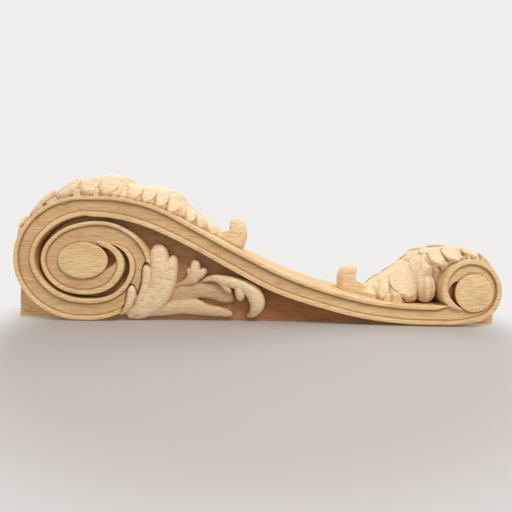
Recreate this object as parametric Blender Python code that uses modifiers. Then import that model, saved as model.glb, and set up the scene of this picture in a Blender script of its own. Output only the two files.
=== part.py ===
"""Carved wooden corbel bracket, modelled upright as it hangs on a wall.

The back lies in the plane y = 0 with the wall behind it, the carved front faces -Y, the large volute is at the
top and the origin is the middle of the back. The corbel is one block of wood. One half is modelled, from a
little past the middle plane out to the side face, and mirrored.

A place on the side drawing is a pair: z, the height, and p, the distance out from the wall.
"""
import bpy
import bmesh
import numpy as np
from mathutils import Matrix

MM = 0.001

# Overall sizes of the block that the corbel is cut from.
HEIGHT = 350 * MM
WIDTH = 90 * MM
PROJECTION = 108 * MM

# The S-shaped band and its mouldings on each side face.
BAND_WIDTH = 14.6 * MM
OUTER_FILLET = 2.8 * MM
INNER_FILLET = 3.4 * MM
FIELD_SINK = 1.8 * MM
GROUND_SINK = 12 * MM
POCKET_SINK = 5.5 * MM

# Relief of the carving.
FOLIAGE_RISE = 10.5 * MM
ROOT_DEPTH = 4 * MM
FLAT_ANGLE = 0.002
OVERLAP = 2 * MM
WALL_CLEARANCE = 0.4 * MM

WOOD_COLOUR = (0.58, 0.38, 0.19, 1.0)
WOOD_ROUGHNESS = 0.62

# The carving is drawn in units of a corbel 350 high, 108 deep and 90 wide.
UNIT_HIGH = HEIGHT / 350
UNIT_OUT = PROJECTION / 108
UNIT_WIDE = WIDTH / 90
SIDE = WIDTH / 2

# Large volute: centre and half axes of its outer oval, then the size of the spiral at each eighth of a turn,
# and the gap between two turns, both as shares of that oval.
VOLUTE_CENTRE = (125.0, 44.6)
VOLUTE_AXES = (50.0, 44.6)
TURN_SHARES = (1, 1, 1, 1, 1, 1.03, 0.95, 0.735, 0.575, 0.555, 0.604, 0.6, 0.585, 0.621, 0.57, 0.38)
GAP_SHARES = (0.115, 0.105, 0.098, 0.058, 0.066, 0.094, 0.076, -0.03)
GAP_END = 298
EYE_CENTRE = (125.4, 42.9)
EYE_AXES = (17.9, 13.0)
TIP_ANGLE = 686

# How much wider than elsewhere the outer fillet grows along the coil's last half turn: angle and factor.
FILLET_GROWTH = ((540, 1.1), (600, 1.7), (640, 1.7), (670, 1.4), (686, 0.3))
COIL_END = (115.0, 57.6)

# Small volute: outer oval, inner edge of its rim as shares of that oval, and eye.
SCROLL_CENTRE = (-153.6, 25.5)
SCROLL_AXES = (21.4, 22.6)
RIM_SHARES = (0.845, 0.845, 0.845, 0.845, 0.85, 0.86, 0.845, 0.7, 0.65)
BUTTON_CENTRE = (-155.2, 23.9)
BUTTON_RADIUS = 13.6

# Widths of the deep pockets beside the two eyes.
EYE_POCKET = (0.2, 1.2, 2.4, 3.4, 3.9, 3.9, 3.4, 2.6, 1.6, 0.4)
BUTTON_POCKET = (0.3, 1.6, 2.8, 3.5, 3.8, 3.6, 3.0, 2.4, 1.6, 0.9, 0.2)

# Wall side of the band where it turns into the small volute, and the mitre where its field meets the rim.
HEEL = ((-104, 1.2), (-120, 0.3), (-137, 0.8))
HEEL_FILLET = 0.8
RIM_JOIN = ((-144.8, 11.6), (-139, 12.2))

# Outline of the square back block past the two volutes.
BLOCK_TOP = ((174.6, 36), (174.6, 0))
BLOCK_FOOT = ((-174, 0), (-174, 22), (-160, 30), (-145, 20))

# Front edge of the band from the small volute up to the large one: z, p and the band's width as a share.
BAND_LINE = (
    (-134, 14.3, 0.93), (-108, 14.6, 0.92), (-78, 18.1, 0.94), (-45, 26.4, 0.97), (-16, 37.0, 1.04),
    (15.5, 52.3, 1.0), (43, 66.9, 1.0), (73, 81.9, 1.1), (100, 88.4, 1.06), (125, 89.2, 0.96),
)


def along(rows, places):
    """Smooth curve through the rows, read at fractional row numbers."""
    rows = np.asarray(rows, float)
    if rows.ndim == 1:
        rows = rows[:, None]
    places = np.asarray(places, float)
    first = np.clip(np.floor(places).astype(int), 0, len(rows) - 2)
    share = (places - first)[:, None]
    padded = np.vstack([2 * rows[0] - rows[1], rows, 2 * rows[-1] - rows[-2]])
    before, start, end, after = (padded[first + shift] for shift in range(4))
    return 0.5 * (
        2 * start
        + (end - before) * share
        + (2 * before - 5 * start + 4 * end - after) * share ** 2
        + (3 * start - before - 3 * end + after) * share ** 3
    )


def smooth(rows, steps):
    """The same curve with equal steps between each pair of rows."""
    return along(rows, np.linspace(0, len(rows) - 1, (len(rows) - 1) * steps + 1))


def placed(rows):
    """Drawing units to metres for rows that start with z and p."""
    return np.asarray(rows, float)[:, :2] * (UNIT_HIGH, UNIT_OUT)


def oval(centre, axes, angles, shares=1.0):
    """Points of an oval in metres: 0 degrees is the front, 90 the upper end, 180 the wall."""
    turn = np.radians(angles)
    spread = np.stack([np.sin(turn), np.cos(turn)], axis=1) * axes
    return placed(centre + spread * np.reshape(shares, (-1, 1)))


def inward(line, distance):
    """The line moved towards the wall side, square to its own direction."""
    direction = np.gradient(line, axis=0)
    direction /= np.linalg.norm(direction, axis=1)[:, None]
    normal = np.stack([direction[:, 1], -direction[:, 0]], axis=1)
    return line + normal * np.reshape(distance, (-1, 1))


def turn_shares(angles):
    return along(TURN_SHARES, np.asarray(angles) / 45)[:, 0]


def gap_shares(angles):
    return turn_shares(np.asarray(angles) + 360) + along(GAP_SHARES, np.asarray(angles) / 45)[:, 0]


band = smooth(BAND_LINE, 3)
band_front = placed(band)
band_width = BAND_WIDTH * band[:, 2]
turn_angles = np.arange(12, 361 + GAP_END - 1, 12)
turns = oval(VOLUTE_CENTRE, VOLUTE_AXES, turn_angles, turn_shares(turn_angles))
gap_angles = np.arange(GAP_END, 5, -12)
gap_edge = oval(VOLUTE_CENTRE, VOLUTE_AXES, gap_angles, gap_shares(gap_angles))
band_back = inward(band_front, band_width)[5:-2]


def prism(name, outline, low, high):
    """A flat outline on the side drawing, filled and given thickness from x = low to x = high."""
    curve = bpy.data.curves.new(name, "CURVE")
    curve.dimensions = "2D"
    curve.fill_mode = "BOTH"
    curve.extrude = (high - low) / 2
    spline = curve.splines.new("POLY")
    spline.points.add(len(outline) - 1)
    rows = np.column_stack([outline, np.zeros(len(outline)), np.ones(len(outline))])
    spline.points.foreach_set("co", rows.ravel())
    spline.use_cyclic_u = True
    flat = bpy.data.objects.new(name + "_outline", curve)
    bpy.context.scene.collection.objects.link(flat)
    middle = (low + high) / 2
    flat.matrix_world = Matrix(((0, 0, 1, middle), (0, -1, 0, 0), (1, 0, 0, 0), (0, 0, 0, 1)))
    bpy.context.view_layer.update()
    solid = bpy.data.meshes.new_from_object(flat.evaluated_get(bpy.context.evaluated_depsgraph_get()))
    solid.transform(flat.matrix_world)
    bpy.data.objects.remove(flat)
    shape = bmesh.new()
    shape.from_mesh(solid)
    bmesh.ops.remove_doubles(shape, verts=shape.verts, dist=0.000001)
    bmesh.ops.dissolve_limit(shape, angle_limit=FLAT_ANGLE, verts=shape.verts, edges=shape.edges)
    bmesh.ops.recalc_face_normals(shape, faces=shape.faces)
    shape.to_mesh(solid)
    shape.free()
    return bpy.data.objects.new(name, solid)


def loft(name, rings):
    """A closed body through a row of closed rings with equal counts: rings[i, j] is a point (x, z, p)."""
    rings = np.asarray(rings, float)
    count, around, _ = rings.shape
    points = rings.reshape(-1, 3)
    places = np.column_stack([points[:, 0], -points[:, 2], points[:, 1]])
    ring = np.arange(around)
    after = (ring + 1) % around
    faces = []
    for row in range(count - 1):
        low = row * around
        high = low + around
        faces += np.column_stack([low + ring, low + after, high + after, high + ring]).tolist()
    faces.append(ring[::-1].tolist())
    faces.append((ring + (count - 1) * around).tolist())
    mesh = bpy.data.meshes.new(name)
    mesh.from_pydata(places.tolist(), [], faces)
    shape = bmesh.new()
    shape.from_mesh(mesh)
    bmesh.ops.recalc_face_normals(shape, faces=shape.faces)
    shape.to_mesh(mesh)
    shape.free()
    return bpy.data.objects.new(name, mesh)


def scroll_solid():
    """Band and both volutes at full width: one outline, with the groove of the large volute left open."""
    foot_angles = np.arange(184, 360 + 118, 12)
    foot = oval(SCROLL_CENTRE, SCROLL_AXES, foot_angles)
    heel = placed(HEEL)
    outline = np.vstack([band_front[:-1], turns, gap_edge, band_back[::-1], heel, foot])
    outline[:, 1] = np.maximum(outline[:, 1], WALL_CLEARANCE)
    return prism("scroll", outline, -4 * OVERLAP, SIDE)


def ground_solid():
    """The sunken ground and the square back block, narrower by GROUND_SINK on each side."""
    middle = inward(band_front, band_width / 2)[:-1]
    head = oval(VOLUTE_CENTRE, VOLUTE_AXES, np.arange(0, 81, 10), 0.85)
    outline = np.vstack([placed(BLOCK_FOOT), middle, head, placed(BLOCK_TOP)])
    return prism("ground", outline, -3 * OVERLAP, SIDE - GROUND_SINK)


def field_cutter():
    """The recessed field between the two fillets, one slot winding from one eye to the other."""
    front_line = inward(band_front, OUTER_FILLET)[1:-1]
    angles = np.arange(12, TIP_ANGLE - 10, 12)
    growth = np.interp(angles, *zip(*FILLET_GROWTH))
    outer = inward(oval(VOLUTE_CENTRE, VOLUTE_AXES, angles, turn_shares(angles)), OUTER_FILLET * growth)
    eye = oval(EYE_CENTRE, EYE_AXES, np.arange(-34, -380, -15))
    tip = placed([COIL_END])
    ridge_angles = np.arange(308, 5, -12)
    ridge = inward(oval(VOLUTE_CENTRE, VOLUTE_AXES, ridge_angles, gap_shares(ridge_angles)), INNER_FILLET)
    back_line = inward(band_front, band_width - INNER_FILLET)[5:-2]
    heel = placed(HEEL) + (0, INNER_FILLET * HEEL_FILLET)
    rim_places = np.linspace(0, len(RIM_SHARES) - 1, 27)
    rim_angles = 184 + rim_places * (520 - 184) / (len(RIM_SHARES) - 1)
    rim = oval(SCROLL_CENTRE, SCROLL_AXES, rim_angles, along(RIM_SHARES, rim_places))
    button = oval(BUTTON_CENTRE, (BUTTON_RADIUS, BUTTON_RADIUS), np.arange(155, -194, -15))
    parts = [front_line, outer, eye, tip, ridge, back_line[::-1], heel, rim, button, placed(RIM_JOIN)]
    outline = np.vstack(parts)
    return prism("field", outline, SIDE - FIELD_SINK, SIDE + OVERLAP)


def crescent_cutter(name, centre, axes, angles, widths):
    """A deep pocket beside an eye: the eye's own edge on one side, a bowed line on the other."""
    inner = oval(centre, axes, angles)
    outer = oval(centre, axes, angles, 1 + np.asarray(widths) / axes[0])
    return prism(name, np.vstack([inner, outer[::-1]]), SIDE - POCKET_SINK, SIDE + OVERLAP)


# Front leaves. For the large leaf, the distance along the scroll's front edge from the upper end is followed by
# the leaf's rise above that edge at its ridge and at its side, and by its half width.
LARGE_START = 4.6
LARGE_RIDGE = (
    (0, 0.5), (14, 2.4), (30.5, 7), (50, 12.5), (71.5, 17), (84, 19.15), (93, 18.2), (100, 12.5), (112, 13.8),
    (131, 15.2), (136, 12), (149, 8.6), (167, 6), (184, 5.5),
)
LARGE_SIDE = (
    (0, 0.3), (18, 3.2), (30.5, 5.5), (32.5, 1.6), (36, 4), (53.5, 8), (56, 3.6), (71.5, 9), (74, 5), (88, 4.5),
    (100, 6), (103, 2.2), (107, 4.6), (120, 4.5), (141, 4.8), (145, 3), (158, 4), (175, 3.5), (184, 2.5),
)
LARGE_HALF = (
    (0, 44.4), (74, 44.4), (100, 43.5), (103, 37), (107, 42.5), (125, 41.5), (141, 37), (145, 26), (149, 31),
    (158, 27), (163, 19), (167, 21), (175, 12), (184, 9),
)
LARGE_TIP = (
    (33, 61), (28, 65.4), (23.4, 67), (22.3, 70.6), (21.6, 74.8), (16, 76.0), (11, 72), (8.6, 64.5), (9.6, 57),
    (13, 50), (22, 53), (32, 58),
)

# For the small leaf: z and p of its ridge and of its side edge, half width, and the hollow under its side.
SMALL_ROWS = (
    (-174.7, 27, -174.8, 26.5, 44.4, 0), (-173.5, 39, -172.8, 36.5, 44.4, 0), (-170, 48, -169.6, 43.5, 44.4, 0),
    (-162.6, 54.8, -161, 51, 44.4, 0), (-149, 56.2, -149.5, 52.4, 44.4, 0), (-137, 55, -142.3, 48.5, 42, 4),
    (-124, 52, -127.5, 43, 37, 12), (-117.5, 47, -121, 36, 34.5, 14), (-112, 42.8, -115.5, 25, 33.5, 7),
    (-103, 36.5, -107, 21.5, 33.5, 1), (-95.5, 31.5, -96, 21, 33, 0), (-90, 27.6, -91, 20.5, 27, 0),
    (-84, 25, -84, 21.5, 20, 0), (-78, 23.2, -78, 21, 11, 0),
)
SMALL_FLOOR = (
    (-173.4, 26.9), (-170.3, 36.8), (-165.7, 42.2), (-159.7, 45.5), (-150.5, 46.3), (-143.4, 42.6), (-131, 14),
    (-122, 11), (-115, 11), (-106, 11.3), (-95.5, 12.3), (-90.5, 12.8), (-84, 13.5), (-78, 14.5),
)
SMALL_TIP = (
    (-64, 25), (-64.2, 31), (-66.5, 36.6), (-71, 39.6), (-78.4, 39.2), (-76.8, 34), (-77.6, 29.6), (-81, 26),
    (-88, 23.8), (-90, 19), (-80, 15.5), (-66, 17.5),
)
TIP_HALF = 11
LEAF_FOLDS = 2
LEAF_ROOT = 0.7
FOLD_DEPTH = 1.6
ACROSS = 10

# How the top falls from the ridge to the side: full and rounded, or, up the small leaf, nearer to a straight slope.
ROUND_TOP = 2.2
SLOPING_TOP = 1.3
SLOPING_PART = (-137, -117)

# Side foliage: each blade is a row of z, p, half width and a share of FOLIAGE_RISE, from its root to its tip.
FOLIAGE = {
    "fan_low": (
        (99, 4.5, 1.5, 0.7), (95.5, 7.5, 2.2, 0.95), (92.2, 12, 3.2, 1.12), (90.8, 17.5, 3.9, 1.14),
        (90.5, 22, 3.4, 1.14), (90.4, 24.4, 2.2, 1.05), (90.4, 25.7, 0.9, 0.8),
    ),
    "fan_narrow": (
        (96, 5, 2, 0.6), (90, 9, 2.6, 0.8), (85, 13.4, 2.8, 0.95), (81.3, 20.4, 2.9, 1.08), (79.4, 29, 3.2, 1.13),
        (79.5, 36, 3.5, 1.13), (79.8, 39.6, 2.8, 1.0), (80, 41.4, 1.1, 0.6),
    ),
    "fan_tall": (
        (94, 4.5, 2.5, 0.6), (86, 9, 4, 0.8), (78, 16, 5, 0.95), (73, 26, 5.6, 1.05), (71, 36, 6.8, 1.1),
        (71.6, 44, 6.9, 1.05), (72.2, 50, 5.9, 0.95), (72.6, 53.6, 3.8, 0.75), (72.7, 55.4, 1.4, 0.4),
    ),
    "fan_right": (
        (74, 5, 3, 0.6), (70.5, 11, 4, 0.8), (67, 18, 4.4, 0.95), (63.8, 27, 4.4, 1.0), (62.2, 35, 4, 0.98),
        (61.9, 41.5, 3.6, 0.9), (61.6, 45.4, 2.6, 0.7), (61.5, 47.4, 1, 0.35),
    ),
    "bud": (
        (60.5, 24.5, 1, 0.45), (55.5, 26.4, 1.4, 0.5), (51, 28.2, 3.2, 0.62), (47.5, 30.8, 5.2, 0.75),
        (45.8, 34.5, 5, 0.85), (45.5, 38.5, 3.9, 0.88), (45.4, 42, 3.4, 0.82), (45.4, 43.8, 2.2, 0.65),
        (45.4, 44.7, 0.8, 0.35),
    ),
    "bud_right": (
        (47, 31, 3, 0.7), (42.5, 33.5, 3.6, 0.8), (39.8, 35.6, 3, 0.78), (38, 37, 2.2, 0.65), (37, 37.8, 0.9, 0.35),
    ),
    "bud_left": (
        (48.5, 32, 2.4, 0.65), (49.8, 35.5, 2.1, 0.72), (50.1, 37.6, 1.4, 0.62), (50.2, 38.6, 0.6, 0.35),
    ),
    "crescent": (
        (42, 27.8, 0.8, 0.4), (36.3, 30.1, 2, 0.65), (30, 30.8, 3, 0.8), (24, 29.4, 4.2, 0.95),
        (17, 28.2, 4.3, 1.0), (10, 26.3, 4.1, 1.03), (4, 22.6, 4.4, 1.03), (0, 18, 4.6, 1.0),
        (-1, 12.5, 4.3, 0.9), (0.8, 7.4, 3.4, 0.75), (4, 4.4, 2.2, 0.6), (7, 3.4, 0.8, 0.35),
    ),
    "crescent_notch": (
        (25, 27.5, 3, 0.85), (21.4, 23.4, 2.5, 0.8), (19.6, 20.9, 1.6, 0.65), (18.9, 19.5, 0.6, 0.35),
    ),
    "crescent_lobe": (
        (13, 26, 4, 0.95), (12.5, 21, 3.9, 0.95), (12.2, 17.5, 3.2, 0.85), (12.1, 15.4, 2, 0.6),
        (12.1, 14.3, 0.8, 0.35),
    ),
    "stem": (
        (84, 4.5, 2.5, 0.5), (77, 6.6, 3.1, 0.6), (70, 8.4, 3.6, 0.65), (56, 11.2, 3.4, 0.65), (40, 11.8, 3, 0.65),
        (28, 9.5, 2.8, 0.6), (20.5, 5.6, 1.8, 0.5), (18, 4, 0.8, 0.4),
    ),
}


def leaf_ring(ridge, side, floor, half, hollow, power):
    """One section of a front leaf: over the folded top from the middle plane to the side, and back inside."""
    share = np.linspace(0, 1, ACROSS + 1)[:, None]
    fold = FOLD_DEPTH * UNIT_OUT * (0.5 - 0.5 * np.cos(2 * np.pi * LEAF_FOLDS * share)) * min(half / 30, 1)
    out = (ridge - floor) / np.linalg.norm(ridge - floor)
    top = ridge + (side - ridge) * share ** power - out * fold
    wide = half * UNIT_WIDE
    x = np.concatenate([[-2 * OVERLAP], wide * share[1:, 0]])
    waist = wide - hollow * UNIT_WIDE
    lower = [(waist, *(0.45 * side + 0.55 * floor)), (waist, *floor), (-2 * OVERLAP, *floor)]
    return np.vstack([np.column_stack([x, top]), lower])


def large_leaf():
    """Leaf over the large volute: it follows the front edge of the scroll, standing proud of it."""
    head = oval(VOLUTE_CENTRE, VOLUTE_AXES, np.arange(96, 0, -4))
    path = np.vstack([head, band_front[::-1]])
    fine = smooth(path, 6)
    length = np.concatenate([[0], np.cumsum(np.linalg.norm(np.diff(fine, axis=0), axis=1))])
    tables = (LARGE_RIDGE, LARGE_SIDE, LARGE_HALF)
    stations = sorted({row[0] for table in tables for row in table} | {8, 24, 42, 64, 79})
    where = (LARGE_START + np.array(stations)) * UNIT_HIGH
    outward = inward(fine, 1.0) - fine
    surface, normal = (
        np.column_stack([np.interp(where, length, line[:, axis]) for axis in (0, 1)]) for line in (fine, outward)
    )
    rises = [np.interp(stations, *zip(*table)) * UNIT_OUT for table in (LARGE_RIDGE, LARGE_SIDE)]
    half = np.interp(stations, *zip(*LARGE_HALF))
    ridge, side = (surface + normal * rise[:, None] for rise in rises)
    ridge[:, 0] = np.minimum(ridge[:, 0], HEIGHT / 2)
    side[:, 0] = np.minimum(side[:, 0], HEIGHT / 2)
    floor = surface - normal * OUTER_FILLET * LEAF_ROOT
    rings = [leaf_ring(*row, 0, ROUND_TOP) for row in zip(ridge, side, floor, half)]
    return loft("large_leaf", rings)


def small_leaf():
    """Leaf over the small volute: it bridges the corner between the volute and the band."""
    rows = smooth(SMALL_ROWS, 2)
    floor = placed(smooth(SMALL_FLOOR, 2))
    ridge = placed(rows[:, 0:2])
    side = placed(rows[:, 2:4])
    power = np.interp(rows[:, 0], SLOPING_PART, (ROUND_TOP, SLOPING_TOP))
    rings = [leaf_ring(*row) for row in zip(ridge, side, floor, rows[:, 4], rows[:, 5], power)]
    return loft("small_leaf", rings)


def curled_tip(name, contour):
    """Hooked end of a leaf: its side outline, rounded off towards the side."""
    closed = along(list(contour) + list(contour[:2]), np.linspace(0.5, len(contour) + 0.5, 25)[:-1])
    outline = placed(closed)
    middle = outline.mean(axis=0)
    rings = []
    for reach, shrink in ((None, 0), (0.55, 0.03), (0.85, 0.14), (1, 0.38)):
        x = -OVERLAP if reach is None else reach * TIP_HALF * UNIT_WIDE
        ring = outline + (middle - outline) * shrink
        rings.append(np.column_stack([np.full(len(ring), x), ring]))
    return loft(name, rings)


def blade(name, rows):
    """Leaf lobe on the sunken ground: round-backed across, steep at its edges, rounded at its tip."""
    rows = np.array(rows)
    centre = placed(rows)
    rings = []
    ground = SIDE - GROUND_SINK
    for share in (-1, -0.6, 0, 0.6, 1):
        line = inward(centre, share * rows[:, 2] * UNIT_OUT)
        height = ground + FOLIAGE_RISE * rows[:, 3] * (0.45 + 0.55 * np.sqrt(1 - share ** 2))
        rings.append(np.column_stack([height, line]))
    for share in (1, -1):
        line = inward(centre, share * rows[:, 2] * UNIT_OUT)
        rings.append(np.column_stack([np.full(len(line), ground - ROOT_DEPTH), line]))
    rings = np.array(rings).transpose(1, 0, 2)
    rings[:, :, 2] = np.maximum(rings[:, :, 2], WALL_CLEARANCE)
    return loft(name, rings)


def clear_scene():
    for thing in list(bpy.data.objects):
        bpy.data.objects.remove(thing)


def wood():
    """Pale, unfinished hardwood."""
    material = bpy.data.materials.new("pale hardwood")
    material.use_nodes = True
    shader = material.node_tree.nodes["Principled BSDF"]
    shader.inputs["Base Color"].default_value = WOOD_COLOUR
    shader.inputs["Roughness"].default_value = WOOD_ROUGHNESS
    shader.inputs["Metallic"].default_value = 0.0
    return material


def carve(body, tools, operation, collection):
    """Adds or cuts each tool with a Boolean modifier, and keeps the tool hidden as a wire guide."""
    for tool in tools:
        collection.objects.link(tool)
        tool.hide_render = True
        tool.display_type = "WIRE"
        step = body.modifiers.new(tool.name, "BOOLEAN")
        step.operation = operation
        step.solver = "EXACT"
        step.object = tool


def build():
    clear_scene()
    collection = bpy.data.collections.new("Corbel bracket")
    guides = bpy.data.collections.new("Corbel cutters")
    bpy.context.scene.collection.children.link(collection)
    bpy.context.scene.collection.children.link(guides)
    corbel = scroll_solid()
    corbel.name = "corbel"
    corbel.data.name = "corbel"
    collection.objects.link(corbel)
    corbel.data.materials.append(wood())
    carve(corbel, [ground_solid()], "UNION", guides)
    button_axes = (BUTTON_RADIUS, BUTTON_RADIUS)
    crescents = [
        crescent_cutter("eye_pocket", EYE_CENTRE, EYE_AXES, np.arange(-118, -39, 8), EYE_POCKET),
        crescent_cutter("button_pocket", BUTTON_CENTRE, button_axes, np.arange(55, 146, 9), BUTTON_POCKET),
    ]
    carve(corbel, [field_cutter()] + crescents, "DIFFERENCE", guides)
    leaves = [large_leaf(), small_leaf(), curled_tip("large_tip", LARGE_TIP), curled_tip("small_tip", SMALL_TIP)]
    carve(corbel, leaves, "UNION", guides)
    carve(corbel, [blade(name, rows) for name, rows in FOLIAGE.items()], "UNION", guides)
    mirror = corbel.modifiers.new("both sides", "MIRROR")
    mirror.use_axis = (True, False, False)
    mirror.use_bisect_axis = (True, False, False)
    mirror.use_clip = True
    mirror.merge_threshold = 0.00001


build()
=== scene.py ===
import math
import bmesh
import bpy
import numpy as np
from mathutils import Matrix


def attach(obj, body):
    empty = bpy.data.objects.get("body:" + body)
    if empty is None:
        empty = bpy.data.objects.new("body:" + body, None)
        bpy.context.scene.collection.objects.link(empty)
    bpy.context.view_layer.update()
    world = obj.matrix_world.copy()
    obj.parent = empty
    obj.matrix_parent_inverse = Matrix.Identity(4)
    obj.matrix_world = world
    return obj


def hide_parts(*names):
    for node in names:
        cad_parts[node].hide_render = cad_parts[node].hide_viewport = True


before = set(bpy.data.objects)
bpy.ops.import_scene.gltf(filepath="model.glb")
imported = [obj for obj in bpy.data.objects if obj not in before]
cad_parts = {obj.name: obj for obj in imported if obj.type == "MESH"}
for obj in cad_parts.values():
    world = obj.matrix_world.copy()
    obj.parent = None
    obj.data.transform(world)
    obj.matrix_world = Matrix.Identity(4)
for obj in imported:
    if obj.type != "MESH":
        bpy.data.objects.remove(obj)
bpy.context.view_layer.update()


# Camera: it stands beside the corbel at the height of its middle and looks square at the left side face,
# turned so that the carved front points up in the picture. Distances are in metres.
SIDE_FACE = 0.045
CAMERA_DISTANCE = 0.36
CAMERA_FROM_WALL = 0.0688
CAMERA_HEIGHT = 0.0017
ROLL = 0.0165
FOCAL_PIXELS = 504.0
PICTURE_PIXELS = 512
PICTURE_DROP = 29

forward = np.array([1.0, 0.0, 0.0])
level_right = np.array([0.0, 0.0, -1.0])
level_up = np.array([0.0, -1.0, 0.0])
right = math.cos(ROLL) * level_right + math.sin(ROLL) * level_up
up = math.cos(ROLL) * level_up - math.sin(ROLL) * level_right
camera_data = bpy.data.cameras.new("camera")
camera_data.sensor_width = 36
camera_data.lens = camera_data.sensor_width * FOCAL_PIXELS / PICTURE_PIXELS
camera_data.clip_start = 0.02
camera_data.shift_y = -PICTURE_DROP / PICTURE_PIXELS
camera = bpy.data.objects.new("camera", camera_data)
bpy.context.scene.collection.objects.link(camera)
turn = Matrix([[right[row], up[row], -forward[row]] for row in range(3)])
stand = (-SIDE_FACE - CAMERA_DISTANCE, -CAMERA_FROM_WALL, CAMERA_HEIGHT)
camera.matrix_world = Matrix.Translation(stand) @ turn.to_4x4()
bpy.context.scene.camera = camera


# Wood: pale unfinished oak-like hardwood, sawn along the corbel's length and carved with gouges. The
# mouldings are scraped smooth, the carving keeps small tool marks. Growth rings are 2.1 mm apart, and open
# pores make short dashes.
def colour(code):
    """An sRGB hex colour as linear red, green, blue and alpha: ((c + 0.055) / 1.055) to the power 2.4."""
    parts = np.array([int(code[start:start + 2], 16) for start in (1, 3, 5)]) / 255
    linear = np.where(parts > 0.04045, ((parts + 0.055) / 1.055) ** 2.4, parts / 12.92)
    return (*linear.tolist(), 1.0)


def node(tree, kind, settings=None, links=None):
    """Adds a shader node: settings go to its properties, ramp stops or sockets, and links to its inputs."""
    made = tree.nodes.new("ShaderNode" + kind)
    for key, value in (settings or {}).items():
        if key == "stops":
            while len(made.color_ramp.elements) < len(value):
                made.color_ramp.elements.new(0.5)
            for element, (place, tone) in zip(made.color_ramp.elements, value):
                element.position = place
                element.color = tone
        elif isinstance(key, str) and hasattr(made, key):
            setattr(made, key, value)
        else:
            made.inputs[key].default_value = value
    for key, source in (links or {}).items():
        tree.links.new(source, made.inputs[key])
    return made


def grey(value):
    """A linear grey for a ramp that carries a number."""
    return (value, value, value, 1.0)


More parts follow.
